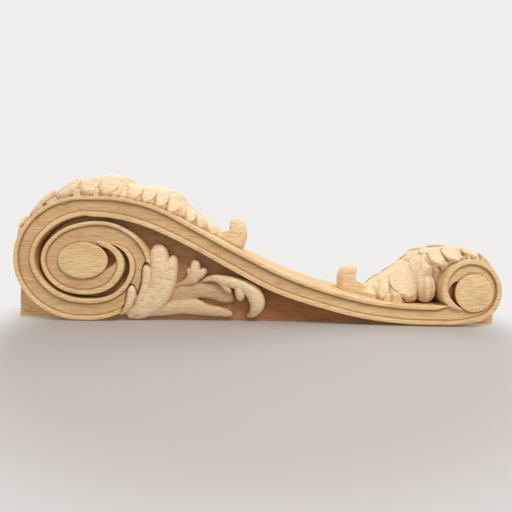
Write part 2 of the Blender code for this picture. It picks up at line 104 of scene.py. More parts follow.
def hardwood(name, light, dark, marks):
    """Growth rings round a heart beside the block, fibres and pores along the grain, and tool marks."""
    material = bpy.data.materials.new(name)
    material.use_nodes = True
    tree = material.node_tree
    tree.nodes.clear()
    place = node(tree, "TexCoord").outputs["Object"]
    millimetres = node(tree, "Mapping", {"Scale": (1000, 1000, 1000)}, {"Vector": place}).outputs[0]
    # Slow drift of the rings along the board: one wave in about 120 mm along the grain and 40 mm across it.
    drift_place = node(tree, "Mapping", {"Scale": (0.025, 0.025, 0.008)}, {"Vector": millimetres}).outputs[0]
    drift = node(tree, "TexNoise", {"Scale": 1.0, "Detail": 3.0}, {"Vector": drift_place}).outputs["Fac"]
    # The heart of the tree lies 70 mm to one side and 130 mm behind, so rings cross the sides as long lines.
    heart = node(tree, "Mapping", {"Location": (70, -130, 0), "Scale": (1, 1, 0)}, {"Vector": millimetres})
    radius = node(tree, "VectorMath", {"operation": "LENGTH"}, {0: heart.outputs[0]}).outputs["Value"]
    bent = node(tree, "Math", {"operation": "MULTIPLY_ADD", 1: 22.0}, {0: drift, 2: radius}).outputs[0]
    # Ripples break the rings up: 5 mm across, 45 mm along, about 1 mm to either side.
    ripple_place = node(tree, "Mapping", {"Scale": (0.2, 0.2, 0.022)}, {"Vector": millimetres}).outputs[0]
    ripple = node(tree, "TexNoise", {"Scale": 1.0, "Detail": 3.0}, {"Vector": ripple_place}).outputs["Fac"]
    swayed = node(tree, "Math", {"operation": "MULTIPLY_ADD", 1: 5.5}, {0: ripple, 2: bent}).outputs[0]
    rings = node(tree, "Math", {"operation": "DIVIDE", 1: 2.1}, {0: swayed}).outputs[0]
    phase = node(tree, "Math", {"operation": "FRACT"}, {0: rings}).outputs[0]
    ring_stops = [
        (0.0, grey(0.42)), (0.15, grey(0.72)), (0.5, grey(0.88)), (0.9, grey(0.66)), (1.0, grey(0.42)),
    ]
    ring_tone = node(tree, "ValToRGB", {"stops": ring_stops}, {"Fac": phase}).outputs[0]
    # Fibres: 0.35 mm across and 12 mm along, far coarser than real ones, so that they show.
    fibre_place = node(tree, "Mapping", {"Scale": (2.8, 2.8, 0.085)}, {"Vector": millimetres}).outputs[0]
    fibre = node(tree, "TexNoise", {"Scale": 1.0, "Detail": 4.0}, {"Vector": fibre_place}).outputs["Fac"]
    # Pores: dashes 0.6 mm across and 9 mm along, again coarser than real ones.
    pore_place = node(tree, "Mapping", {"Scale": (1.6, 1.6, 0.11)}, {"Vector": millimetres}).outputs[0]
    pore = node(tree, "TexNoise", {"Scale": 1.0, "Detail": 2.0}, {"Vector": pore_place}).outputs["Fac"]
    pore_stops = [(0.53, grey(0.0)), (0.6, grey(1.0))]
    pore_mask = node(tree, "ValToRGB", {"stops": pore_stops}, {"Fac": pore}).outputs[0]
    # Broad patches, about 65 mm along the grain, keep the board from looking even.
    patch_place = node(tree, "Mapping", {"Scale": (0.05, 0.05, 0.015)}, {"Vector": millimetres}).outputs[0]
    patch = node(tree, "TexNoise", {"Scale": 1.0, "Detail": 2.0}, {"Vector": patch_place}).outputs["Fac"]
    grain = node(tree, "Mix", {"data_type": "FLOAT", "Factor": 0.6}, {2: ring_tone, 3: fibre}).outputs[0]
    tone = node(tree, "Math", {"operation": "MULTIPLY_ADD", 1: 0.35, 2: -0.17}, {0: patch}).outputs[0]
    mixed = node(tree, "Math", {"operation": "ADD", "use_clamp": True}, {0: grain, 1: tone}).outputs[0]
    wood_stops = [(0.22, colour(dark)), (0.72, colour(light))]
    base = node(tree, "ValToRGB", {"stops": wood_stops}, {"Fac": mixed}).outputs[0]
    pore_share = node(tree, "Math", {"operation": "MULTIPLY", 1: 0.6}, {0: pore_mask}).outputs[0]
    with_pores = node(
        tree, "Mix", {"data_type": "RGBA", "blend_type": "MULTIPLY", 7: colour("#DCC3A4")},
        {0: pore_share, 6: base},
    )
    # Painted shade: corners of the cuts and other places where shade falls are darker, by the painted-shade
    # attribute read here.
    crease = node(tree, "Attribute", {"attribute_name": "crease"}).outputs["Fac"]
    shaded_wood = node(
        tree, "Mix", {"data_type": "RGBA", "blend_type": "MULTIPLY", 7: colour("#B4865A")},
        {0: crease, 6: with_pores.outputs[2]},
    )
    # Tool marks: shallow scoops about 2.5 mm wide.
    scoop_place = node(tree, "Mapping", {"Scale": (0.42, 0.42, 0.3)}, {"Vector": millimetres}).outputs[0]
    scoops = node(
        tree, "TexVoronoi", {"feature": "SMOOTH_F1", "Scale": 1.0, "Smoothness": 0.4},
        {"Vector": scoop_place},
    ).outputs["Distance"]
    heights = node(tree, "Math", {"operation": "MULTIPLY_ADD", 1: marks}, {0: scoops, 2: fibre}).outputs[0]
    low_pores = node(
        tree, "Math", {"operation": "MULTIPLY_ADD", 1: -0.5}, {0: pore_mask, 2: heights},
    ).outputs[0]
    bump = node(tree, "Bump", {"Strength": 0.35, "Distance": 0.0004}, {"Height": low_pores}).outputs[0]
    shader = node(
        tree, "BsdfPrincipled", {"Roughness": 0.62, "IOR": 1.5, "Metallic": 0.0},
        {"Base Color": shaded_wood.outputs[2], "Normal": bump},
    )
    node(tree, "OutputMaterial", {}, {"Surface": shader.outputs[0]})
    return material


scraped_oak = hardwood("scraped oak", "#E8CA98", "#B8894F", 0.25)
# The carving's paler colours are painted light, lifting it out of the sunk ground's shade; its stronger tool
# marks are real.
gouged_oak_painted_paler = hardwood("gouged oak", "#ECD5B0", "#CBA474", 0.6)


# Scroll: the S-shaped band from the small volute's eye, up the front and into the large volute's coil. It
# is the full thickness of the board, and a scraper has sunk a field between two fillets on each side face.
# All sizes are millimetres: z is the height, p the distance out from the wall and x the distance from the
# middle plane.
MM = 0.001
SIDE = 45.0
GROUND = 33.0
BAND_WIDTH = 14.6
OUTER_FILLET = 2.8
INNER_FILLET = 3.4
FIELD_SINK = 1.8
POCKET_SINK = 5.5
WALL_CLEARANCE = 0.4
VOLUTE_CENTRE = (125.0, 44.6)
VOLUTE_AXES = (50.0, 44.6)
# The large volute's coil as shares of its oval, one for every 45 degrees from the front over the top, and
# the groove inside its outer turn in the same way.
TURN_SHARES = (1, 1, 1, 1, 1, 1.03, 0.95, 0.735, 0.575, 0.555, 0.604, 0.6, 0.585, 0.621, 0.57, 0.38)
GAP_SHARES = (0.106, 0.105, 0.098, 0.058, 0.066, 0.094, 0.076, -0.03)
# How much wider its outer fillet gets, by angle.
FILLET_GROWTH = ((0, 1), (500, 1), (540, 1.1), (600, 1.7), (640, 1.7), (670, 1.4), (686, 0.3))
EYE_CENTRE = (125.4, 42.9)
EYE_AXES = (17.9, 13.0)
# Width of the hollow beside the eye, in equal steps of angle. The small volute's button has its own.
EYE_POCKET = (0.2, 1.2, 2.4, 3.4, 3.9, 3.9, 3.4, 2.6, 1.6, 0.4)
SCROLL_CENTRE = (-153.6, 25.5)
SCROLL_AXES = (21.4, 22.6)
BUTTON_CENTRE = (-155.2, 23.9)
BUTTON_RADIUS = 13.6
BUTTON_CORE = 9
BUTTON_POCKET = (0.3, 1.6, 2.8, 3.5, 3.8, 3.6, 3.0, 2.4, 1.6, 0.9, 0.2)
# The band's front edge, z and p, and its width as a share of BAND_WIDTH.
BAND_LINE = (
    (-134, 14.3, 0.93), (-108, 14.6, 0.92), (-78, 18.1, 0.94), (-45, 26.4, 0.97), (-16, 37.0, 1.04),
    (15.5, 52.3, 1.0), (43, 66.9, 1.0), (73, 81.9, 1.1), (100, 88.4, 1.06), (125, 89.2, 0.99),
)
# Between the small volute and the band, rows as scroll_lines gives them.
TURN_IN = ((-146, 1.5, -149, 14.2, 3.0, 0, 0), (-137, 0.8, -141, 14.8, 2.8, 0, 0))
# The small volute's rim: angle, outer and inner edge as shares of its oval. Past 455 degrees it winds in.
RIM = (
    (184, 1, 0.845), (436, 1, 0.845), (455, 1, 0.8), (464, 0.995, 0.765), (473, 0.97, 0.73),
    (481, 0.925, 0.7), (489, 0.86, 0.68), (498, 0.785, 0.665), (507, 0.725, 0.655), (516, 0.675, 0.645),
    (525, 0.63, 0.625),
)
# Where two blades of the fan cross the volute's face, z, p and half width, it is cut back by FAN_CUT.
FAN_CUT = 6
FAN_OVER_VOLUTE = (
    (95.5, 7.5, 2.6), (92.2, 12, 3.6), (90.8, 17.5, 4.3), (90.5, 22, 3.8), (90.4, 25.0, 1.6), (86, 16, 2),
    (82, 20.4, 4.6), (79.8, 29, 4.6), (79.6, 36, 4.4), (79.8, 39.6, 3.2), (80, 41.4, 1.2),
)
# Corners of the block that the whole corbel was carved from, as x, z and p.
BLOCK_LOW = (-45, -174.99, 0)
BLOCK_HIGH = (45, 175, 107.99)


def along(rows, places):
    """Catmull-Rom curve through the rows, read at fractional row numbers, all at once."""
    rows = np.asarray(rows, float)
    rows = rows.reshape(len(rows), -1)
    first = np.clip(np.floor(places).astype(int), 0, len(rows) - 2)
    share = (places - first)[:, None]
    padded = np.vstack([2 * rows[0] - rows[1], rows, 2 * rows[-1] - rows[-2]])
    before, start, end, after = (padded[first + shift] for shift in range(4))
    return 0.5 * (
        2 * start
        + (end - before) * share
        + (2 * before - 5 * start + 4 * end - after) * share ** 2
        + (3 * start - before - 3 * end + after) * share ** 3
    )


def smooth(rows, steps):
    """The same curve with equal steps between each pair of rows."""
    return along(rows, np.linspace(0, len(rows) - 1, (len(rows) - 1) * steps + 1))


def oval(centre, axes, angles, shares=1.0):
    """Points (z, p) of an oval: centre + share * (axis * sin, axis * cos), with the front at 0 degrees."""
    spin = np.radians(angles)
    spread = np.stack([np.sin(spin), np.cos(spin)], axis=1) * axes
    return centre + spread * np.reshape(shares, (-1, 1))


def inward(line, distance):
    """The line (z, p) moved square to itself, towards the wall for a line that climbs."""
    direction = np.gradient(line, axis=0)
    direction /= np.linalg.norm(direction, axis=1)[:, None]
    normal = np.stack([direction[:, 1], -direction[:, 0]], axis=1)
    return line + normal * np.reshape(distance, (-1, 1))


def turn_shares(angles):
    """How far out the large volute's coil lies at angles from 0 to 675, as a share of its oval."""
    return along(TURN_SHARES, np.asarray(angles) / 45)[:, 0]


def gap_shares(angles):
    """The inner edge of its outer turn: the next turn's share plus the groove between them."""
    return turn_shares(np.asarray(angles) + 360) + along(GAP_SHARES, np.asarray(angles) / 45)[:, 0]


def tube(rings, crease=0.0):
    """Closed skin through rings[i, j] = (x, z, p): quads between neighbours, and a fan to the middle at each
    end. The painted shade, 0 to 1 for each point of the rings, is how dark the wood is painted there."""
    count, around, _ = rings.shape
    ring = np.arange(around)
    after = (ring + 1) % around
    row = np.arange(count - 1)[:, None] * around
    corners = [row + ring, row + after, row + after + around, row + ring + around]
    quads = np.stack(corners, axis=-1).reshape(-1, 4)
    points = np.vstack([rings.reshape(-1, 3), rings[0].mean(axis=0), rings[-1].mean(axis=0)])
    last = (count - 1) * around
    first_cap = np.stack([after, ring, np.full(around, count * around)], axis=1)
    last_cap = np.stack([last + ring, last + after, np.full(around, count * around + 1)], axis=1)
    dark = np.append((np.zeros((count, around)) + crease).ravel(), [0.0, 0.0])
    return points, quads.tolist() + first_cap.tolist() + last_cap.tolist(), dark


def mirrored(skin):
    """The same skin on the other side of the middle plane, its faces turned to stay outward."""
    points, faces, dark = skin
    return points * (-1, 1, 1), [face[::-1] for face in faces], dark


def piece(name, skins, material, sharp=40):
    """Joins skins given in millimetres as (x, z, p) into one object in metres that rides the corbel."""
    points = np.clip(np.vstack([skin[0] for skin in skins]), BLOCK_LOW, BLOCK_HIGH)
    starts = np.cumsum([0] + [len(skin[0]) for skin in skins])
    faces = [
        [corner + int(start) for corner in face] for start, skin in zip(starts, skins) for face in skin[1]
    ]
    placed = np.column_stack([points[:, 0], -points[:, 2], points[:, 1]]) * MM
    mesh = bpy.data.meshes.new(name)
    mesh.from_pydata(placed.tolist(), [], faces)
    shape = bmesh.new()
    shape.from_mesh(mesh)
    bmesh.ops.recalc_face_normals(shape, faces=shape.faces)
    shape.to_mesh(mesh)
    shape.free()
    # Painted shade of every point, kept as a mesh attribute for the wood.
    crease = mesh.attributes.new("crease", "FLOAT", "POINT")
    crease.data.foreach_set("value", np.concatenate([skin[2] for skin in skins]))
    mesh.materials.append(material)
    mesh.polygons.foreach_set("use_smooth", np.ones(len(mesh.polygons), bool))
    mesh.set_sharp_from_angle(angle=math.radians(sharp))
    made = bpy.data.objects.new(name, mesh)
    bpy.context.scene.collection.objects.link(made)
    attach(made, "root")
    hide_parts("corbel")


def scroll_lines():
    """Rows (back z, back p, front z, front p, back fillet, front fillet, flare), small eye to large."""
    rim = np.array(RIM)
    angles = np.concatenate([np.arange(525, 455, -8), np.arange(449, 190, -12), [184]])
    outer = np.interp(angles, rim[:, 0], rim[:, 1])
    back = oval(SCROLL_CENTRE, SCROLL_AXES, angles, outer)
    front = oval(BUTTON_CENTRE, (BUTTON_CORE, BUTTON_CORE), angles)
    fillet = (outer - np.interp(angles, rim[:, 0], rim[:, 2])) * SCROLL_AXES[1]
    small = np.column_stack([back, front, fillet, 0 * angles, 0 * angles])
    line = smooth(BAND_LINE, 5)[1:-1]
    back = inward(line[:, :2], BAND_WIDTH * line[:, 2])
    back[:, 1] = np.maximum(back[:, 1], 0.5)
    ones = np.ones(len(line))
    taper = np.interp(line[:, 0], (-100, -60), (2.8, INNER_FILLET))
    flare = np.interp(line[:, 0], (-125, -90), (0, 0.7))
    band = np.column_stack([back, line[:, :2], taper, OUTER_FILLET * ones, flare])
    angles = np.arange(0, 687, 6)
    front = oval(VOLUTE_CENTRE, VOLUTE_AXES, angles, turn_shares(angles))
    back = oval(EYE_CENTRE, EYE_AXES, angles, 0.6)
    near = angles < 324
    shares = np.where(angles <= 300, gap_shares(angles), turn_shares(np.minimum(angles, 326) + 360) - 0.03)
    back[near] = oval(VOLUTE_CENTRE, VOLUTE_AXES, angles, shares)[near]
    inner = np.interp(angles, (284, 306), (INNER_FILLET, 0))
    growth = np.interp(angles, *zip(*FILLET_GROWTH))
    flare = np.interp(angles, (0, 20, 200, 240), (0.7, 0.4, 0.4, 0))
    large = np.column_stack([back, front, inner, OUTER_FILLET * growth, flare])
    lines = smooth(np.vstack([small, TURN_IN, band, large]), 4)
    lines[:, [1, 3]] = np.maximum(lines[:, [1, 3]], WALL_CLEARANCE)
    return lines


def scroll_rings(lines):
    """Closed sections: the profile from the back edge over fillet, field and fillet, across the front, and
    back. The second table is the painted shade: the fillets' feet, the field, deep walls and the eyes' edges."""
    back, front, inner, outer, flare = lines[:, 0:2], lines[:, 2:4], lines[:, 4], lines[:, 5], lines[:, 6]
    width = np.linalg.norm(back - front, axis=1)
    one = np.ones(len(lines))
    # Where a fillet runs out to nothing, it loses its height too.
    tall = np.clip(inner / 1.4, 0, 1)
    low = SIDE - FIELD_SINK
    rise = FIELD_SINK * tall
    near = np.clip(outer / 0.9, 0, 1) * FIELD_SINK
    # The wall under the back edge, from below the ground up.
    steps = [(width + flare * share, one * level) for share, level in (
        (1.3, GROUND - 1), (1, 37), (0.3, 42))]
    # The inner fillet: its outer corner, its top and its foot in the field.
    steps += [(width - cut * tall, low + rise * level) for cut, level in (
        (0, 0.35), (0.08, 0.8), (0.35, 0.96), (0.8, 1.0))]
    steps += [(width - inner * 0.5 - 0.2 * tall, low + rise)]
    steps += [(width - inner + reach * tall, low + rise * level) for reach, level in (
        (0.8, 0.99), (0.35, 0.93), (0.1, 0.75), (-0.1, 0.3), (-0.3, 0.06))]
    # The field, hollowed by 0.4.
    inside = width - inner - 0.5 * tall
    outside = outer + 0.5
    for share in np.linspace(0, 1, 15):
        steps.append((inside + (outside - inside) * share, low - 0.4 * np.sin(np.pi * share) * one))
    # The outer fillet: its foot, its top and its rounded corner with the front.
    steps += [(outer + reach, low + near * level) for reach, level in (
        (0.3, 0.06), (0.1, 0.3), (-0.1, 0.75), (-0.35, 0.93), (-0.7, 0.99))]
    steps += [(outer * 0.5, low + near)]
    steps += [(one * edge, low + near * level) for edge, level in (
        (0.7, 1), (0.3, 0.97), (0.08, 0.86), (0, 0.7))]
    distance = np.stack([step[0] for step in steps], axis=1)
    height = np.stack([step[1] for step in steps], axis=1)
    direction = (back - front) / width[:, None]
    flat = front[:, None, :] + direction[:, None, :] * distance[:, :, None]
    height = height - pocket_depth(flat, height) - fan_cut(flat, height)
    half = np.concatenate([height[:, :, None], flat], axis=2)
    # Painted shade: the whole sunk field, more towards the large volute, and more strongly the fillets' feet,
    # deep walls and the eyes' edges.
    level = np.clip((low + FIELD_SINK - height) / FIELD_SINK, 0, 1)
    beside = np.minimum(np.abs(distance - inside[:, None]), np.abs(distance - outside[:, None]))
    raised = np.where(distance > width[:, None] / 2, tall[:, None], near[:, None] / FIELD_SINK)
    field = np.interp(front[:, 0], (-150, -60, 0, 80), (0.08, 0.14, 0.28, 0.28))[:, None] * level
    half_dark = np.maximum(level * raised * np.clip(1 - beside / 1.1, 0, 1), field)
    half_dark = np.maximum(half_dark, np.clip((low - 0.8 - height) / 3, 0, 1))
    # The outside of the small volute's rim stands free, so it is no deep wall.
    small_rim = np.linalg.norm(front - BUTTON_CENTRE, axis=1) < BUTTON_CORE + 0.5
    half_dark[small_rim[:, None] & (distance > width[:, None] - 0.01)] = 0
    for centre, axes in ((EYE_CENTRE, EYE_AXES), (BUTTON_CENTRE, (BUTTON_RADIUS, BUTTON_RADIUS))):
        gap = (np.linalg.norm((flat - centre) / axes, axis=-1) - 1) * min(axes)
        half_dark = np.maximum(half_dark, level * np.clip(1 - np.abs(gap) / 1.2, 0, 1))
    across = np.linspace(1, -1, 26)[1:-1]
    face = np.concatenate([
        height[:, -1:, None] * across[None, :, None],
        np.repeat(front[:, None, :], len(across), axis=1),
    ], axis=2)
    other = half[:, ::-1] * (-1, 1, 1)
    dark = np.concatenate([half_dark, np.zeros(face.shape[:2]), half_dark[:, ::-1]], axis=1)
    return np.concatenate([half, face, other], axis=1), dark


def pocket_depth(flat, height):
    """Extra depth beside the two eyes: deepest * share^2 * (3 - 2 * share), where the share falls from 1 to
    0 over 1 mm at the edge of a width that follows a table of angles."""
    depth = np.zeros(height.shape)
    pockets = (
        (EYE_CENTRE, EYE_AXES, (-118, -46), EYE_POCKET),
        (BUTTON_CENTRE, (BUTTON_RADIUS, BUTTON_RADIUS), (55, 145), BUTTON_POCKET),
    )
    for centre, axes, reach, widths in pockets:
        away = (flat - centre) / axes
        angle = np.degrees(np.arctan2(away[..., 0], away[..., 1]))
        gap = (np.linalg.norm(away, axis=-1) - 1) * axes[1]
        places = np.linspace(reach[0], reach[1], len(widths))
        width = np.interp(angle, places, widths, left=0.0, right=0.0)
        share = np.clip(width + 0.5 - gap, 0, 1)
        hollow = (POCKET_SINK - FIELD_SINK) * share * share * (3 - 2 * share)
        depth = np.maximum(depth, hollow * (width > 0.05) * (gap > -3))
    over_field = height - SIDE + FIELD_SINK
    return np.where((over_field < 0.4) & (over_field > -0.9), depth, 0)


def fan_cut(flat, height):
    """How far the face is cut back: down to FAN_CUT below SIDE wherever a blade of the fan crosses it."""
    inside = np.zeros(height.shape, bool)
    for row in smooth(FAN_OVER_VOLUTE, 4):
        inside |= np.linalg.norm(flat - row[:2], axis=-1) < row[2] - 0.5
    return np.where(inside, np.clip(height - SIDE + FAN_CUT, 0, FAN_CUT), 0)


piece("scroll", [tube(*scroll_rings(scroll_lines()))], scraped_oak)


# Eyes: the plain oval and the plain round that the two spirals wind up to, left at the height of the
# board's face when the field round them was sunk. Their edges are only just broken.
def eye_skin(centre, axes):
    """Short plug of oval section: rings of (share of the oval, x) up its wall, over a rounded edge and
    across a face that falls by 0.13 * share^2 from its middle. The wall has painted shade, all but its edge."""
    angles = np.linspace(0, 360, 145)[:-1]
    steps = [(1.0, 30), (1.0, 38), (1.0, SIDE - 1.7), (1.0, SIDE - 1.1), (0.998, SIDE - 0.7)]
    steps += [(1 - inset / axes[1], SIDE - drop) for inset, drop in (
        (0.12, 0.42), (0.35, 0.22), (0.7, 0.13))]
    steps += [(share, SIDE - 0.13 * share ** 2) for share in (0.85, 0.7, 0.5, 0.3, 0.12)]
    rings = [
        np.column_stack([np.full(len(angles), x), oval(centre, axes, angles, share)]) for share, x in steps
    ]
    dark = np.zeros((len(rings), 1))
    dark[:3] = 1
    dark[3] = 0.4
    return tube(np.array(rings), dark)


eyes = [eye_skin(EYE_CENTRE, EYE_AXES), eye_skin(BUTTON_CENTRE, (BUTTON_RADIUS, BUTTON_RADIUS))]
piece("eyes", eyes + [mirrored(eye) for eye in eyes], scraped_oak)


# Back block and ground: the square back of the board, which lies flat on the wall, and the sunken ground
# between it and the band, cut 12 mm below the side faces and left with slight gouge marks. The rows of its
# front edge are z and p.
BLOCK_EDGE = (
    (-174, 22), (-160, 30), (-145, 20), (-134, 7.5), (-108, 8.0), (-78, 11.5), (-45, 20), (-16, 31),
    (15.5, 46.5), (43, 60.5), (73, 75.5), (100, 80), (125, 80), (150, 70), (166, 50), (174.6, 36),
)

# Painted shade on the ground along z: darkest in the narrow wedge behind the band, which shades it.
GROUND_PAINTED_SHADE = (
    (-174, 0.25), (-130, 0.5), (-60, 0.85), (-15, 0.95), (30, 0.75), (60, 0.65), (95, 0.6), (140, 0.25),
)


def block_rings():
    """Sections square to z: flat back, sides near GROUND with a waviness of 0.18 either way, and the front
    hidden inside the scroll. The second table is the painted shade on the ground."""
    heights = np.concatenate([[-174], np.linspace(-173.6, 174.2, 350), [174.6]])
    reach = np.interp(heights, *zip(*BLOCK_EDGE))
    shares = np.concatenate([[0, 0.25, 0.6], np.linspace(1, 100, 45)]) / 100
    flat = np.stack([np.repeat(heights[:, None], len(shares), axis=1), reach[:, None] * shares], axis=-1)
    z, p = flat[..., 0], flat[..., 1]
    wave = 0.1 * np.sin(z / 5.1 + np.sin(p / 3.3) * 1.2) + 0.08 * np.sin(p / 1.9 + z / 23)
    x = GROUND - 0.15 + wave
    x[:, 0] -= 0.35
    x[:, 1] -= 0.1
    x[[0, -1]] -= 0.3
    half = np.concatenate([x[..., None], flat], axis=-1)
    dark = np.interp(z, *zip(*GROUND_PAINTED_SHADE))
    dark[:, 0] = 0
    rings = np.concatenate([half, half[:, ::-1] * (-1, 1, 1)], axis=1)
    return rings, np.concatenate([dark, dark[:, ::-1]], axis=1)


piece("back_block", [tube(*block_rings())], scraped_oak)


# Side foliage: a fan that springs from under the large volute, a stem down the wall, a bud, a long curled
# leaf, and a low leaf between it and the stem. Each was rounded over with a gouge, so it is softly domed and
# its edges are steep. Rows are z, p, half width and rise as a share of FOLIAGE_RISE.
FOLIAGE_RISE = 10.5
FOLIAGE = {
    "fan_body": (
        (94, 4.5, 4, 0.7), (87, 7.5, 7.5, 0.86), (79, 13, 9.8, 0.98), (73, 20, 10.8, 1.03),
        (69.4, 28, 10.4, 1.03), (68.2, 36, 9.6, 0.98), (68.2, 42, 7.4, 0.84), (68.4, 46, 3.5, 0.6),
    ),
    "fan_low": (
        (99, 4.5, 1.5, 0.7), (95.5, 7.5, 2.2, 0.95), (92.2, 12, 3.2, 1.12), (90.8, 17.5, 3.9, 1.14),
        (90.5, 22, 3.4, 1.14), (90.4, 24.4, 2.2, 1.05), (90.4, 25.7, 0.9, 0.8),
    ),
    "fan_narrow": (
        (96, 5, 2, 0.6), (90, 9, 2.8, 0.8), (85.4, 13.4, 3.2, 0.95), (82, 20.4, 3.6, 1.06),
        (79.9, 29, 3.9, 1.12), (79.7, 36, 3.8, 1.12), (79.8, 39.6, 2.8, 1.0), (80, 41.4, 1.1, 0.6),
    ),
    "fan_tall": (
        (94, 4.5, 3.5, 0.6), (86, 9, 4.6, 0.8), (78, 16, 5.6, 0.95), (73, 26, 6.2, 1.05),
        (71.4, 36, 7.2, 1.1), (71.8, 44, 7.3, 1.05), (72.2, 50, 6.3, 0.95), (72.6, 53.6, 4, 0.75),
        (72.7, 55.4, 1.4, 0.4),
    ),
    "fan_right": (
        (80, 4.6, 3, 0.6), (75, 8.5, 4.4, 0.8), (69, 16, 5.2, 0.95), (64.8, 26, 5.4, 1.0),
        (62.8, 35, 4.9, 0.98), (62.2, 41.5, 4.2, 0.9), (61.8, 45.4, 2.9, 0.7), (61.7, 47.4, 1, 0.35),
    ),
    "bud": (
        (60.5, 24.5, 1, 0.45), (55.5, 26.4, 1.4, 0.5), (51, 28.2, 3.2, 0.62), (47.5, 30.8, 5.2, 0.75),
        (45.8, 34.5, 5, 0.85), (45.5, 38.5, 3.9, 0.88), (45.4, 42, 3.4, 0.82), (45.4, 43.8, 2.2, 0.65),
        (45.4, 44.7, 0.8, 0.35),
    ),
    "bud_right": (
        (47, 31, 3, 0.7), (42.5, 33.5, 3.6, 0.8), (39.8, 35.6, 3, 0.78), (38, 37, 2.2, 0.65),
        (37, 37.8, 0.9, 0.35),
    ),
    "bud_left": (
        (48.5, 32, 2.4, 0.65), (49.8, 35.5, 2.1, 0.72), (50.1, 37.6, 1.4, 0.62), (50.2, 38.6, 0.6, 0.35),
    ),
    "crescent": (
        (42, 27.8, 0.8, 0.4), (36.3, 30.1, 2, 0.65), (30, 30.8, 3, 0.8), (24, 29.4, 4.2, 0.95),
        (17, 28.2, 4.4, 1.0), (10, 26.0, 4.7, 1.03), (4, 22.2, 5.6, 1.03), (0.8, 17.6, 6, 1.0),
        (-0.2, 12.5, 5.5, 0.9), (1.4, 7.8, 4.2, 0.75), (4, 4.8, 2.6, 0.6), (7, 3.6, 1, 0.35),
    ),
    "crescent_notch": (
        (25, 27.5, 3, 0.85), (21.4, 23.4, 2.5, 0.8), (19.6, 20.9, 1.6, 0.65), (18.9, 19.5, 0.6, 0.35),
    ),
    "crescent_lobe": (
        (13, 26, 4, 0.95), (12.5, 21, 3.9, 0.95), (12.2, 17.5, 3.2, 0.85), (12.1, 15.4, 2, 0.6),
        (12.1, 14.3, 0.8, 0.35),
    ),
    "stem": (
        (84, 4.5, 2.5, 0.5), (77, 6.2, 3.6, 0.6), (70, 7.6, 4.6, 0.62), (56, 9.8, 5.2, 0.62),
        (45, 9.8, 5.6, 0.6), (37, 7.4, 4.0, 0.55), (28, 6.4, 3.4, 0.5), (20.5, 5, 2.4, 0.45),
        (18, 4, 0.8, 0.35),
    ),
    "web": (
        (72, 12, 4, 0.3), (64, 15, 8.5, 0.4), (54, 18.5, 9.5, 0.44), (45, 22, 6.5, 0.44),
        (37, 22, 6.2, 0.44), (30, 21, 6.4, 0.44), (24, 18.5, 5.8, 0.42), (20, 16, 4, 0.36),
        (17.8, 14, 1.5, 0.25),
    ),
}


def lobe(rows):
    """Lobe on the ground: height = rise * (0.45 + 0.55 * root(1 - u^2.6)) across its width u. Its foot has
    painted shade, as have its edges, and its whole face the more, the lower it lies."""
    rows = smooth(rows, 6)
    middle = rows[:, :2]
    half = rows[:, 2]
    u = np.sin(np.linspace(-1, 1, 25) * np.pi / 2)
    lines = np.stack([inward(middle, share * half) for share in u], axis=1)
    dome = 0.45 + 0.55 * np.sqrt(np.clip(1 - np.abs(u) ** 2.6, 0, 1))
    height = GROUND + FOLIAGE_RISE * rows[:, 3:4] * dome
    top = np.concatenate([height[:, :, None], lines], axis=2)
    root = np.concatenate([np.full((len(rows), 2, 1), GROUND - 3.0), lines[:, [-1, 0]]], axis=2)
    rings = np.concatenate([top, root], axis=1)
    rings[:, :, 2] = np.maximum(rings[:, :, 2], WALL_CLEARANCE)
    dark = np.maximum(np.concatenate([0.35 * np.abs(u) ** 8, [1.0, 1.0]]), 0.9 - rows[:, 3:4])
    return tube(rings, dark)


lobes = [lobe(rows) for rows in FOLIAGE.values()]
piece("side_foliage", lobes + [mirrored(part) for part in lobes], gouged_oak_painted_paler)


# Large leaf: a long acanthus leaf laid over the top of the large volute. Three groups of lobes overlap
# towards its tip, each set in with a gouge and left highest at the edge that overlaps the next one. The
# tables give, by place along it, how far ridge and side stand out from the scroll, and its half width.
LARGE_START = 4.6
LARGE_RIDGE = (
    (0, 0.5), (14, 1.6), (30.5, 4.8), (50, 9.5), (71.5, 16), (84, 19.0), (91, 18.4), (94, 17.6), (97, 12.9),
    (100, 12.5), (112, 13.8), (131, 15.2), (134, 14.4), (137, 11.6), (149, 8.6), (167, 6), (184, 5.5),
)
LARGE_SIDE = (
    (0, 0.2), (18, 1.2), (32.5, 1.6), (56, 3.4), (74, 4.6), (88, 3.6), (103, 2.2), (120, 2.6), (145, 2.4),
    (158, 2.2), (175, 1.8), (184, 1.5),
)
LARGE_HALF = (
    (0, 44.4), (74, 44.4), (100, 43.5), (103, 37), (107, 42.5), (125, 41.5), (141, 37), (145, 26),
    (149, 31), (158, 27), (163, 19), (167, 21), (175, 12), (184, 9),
)
